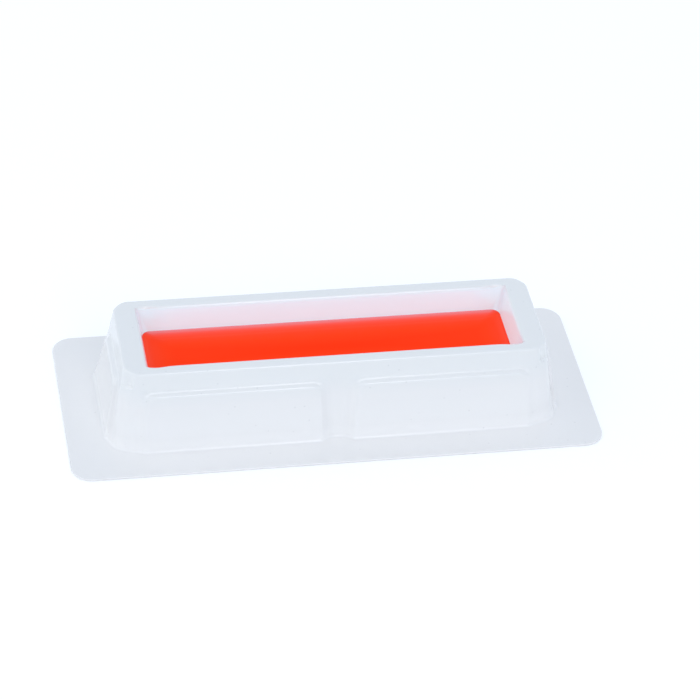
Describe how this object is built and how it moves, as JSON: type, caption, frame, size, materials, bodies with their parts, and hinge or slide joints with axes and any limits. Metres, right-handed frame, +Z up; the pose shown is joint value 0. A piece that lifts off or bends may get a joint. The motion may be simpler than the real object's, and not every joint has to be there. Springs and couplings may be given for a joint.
{
  "type": "reagent reservoir",
  "caption": "Long shallow tray formed from thin white sheet, with a flat flange, padded sloping walls and a central trough that holds a pool of red reagent for pipetting.",
  "frame": {"origin": "centre of the flange's underside, on the surface that the tray stands on", "axes": "+X along the trough's length, +Y across it, +Z up out of the trough's mouth"},
  "size_m": [0.16, 0.066, 0.026],
  "materials": {
    "white_sheet": "satin, slightly translucent formed sheet",
    "red_reagent": "clear orange-red liquid with a mirror-smooth surface"
  },
  "bodies": {
    "root": {"reservoir_tray": "white_sheet", "reagent": "red_reagent"}
  },
  "joints": []
}
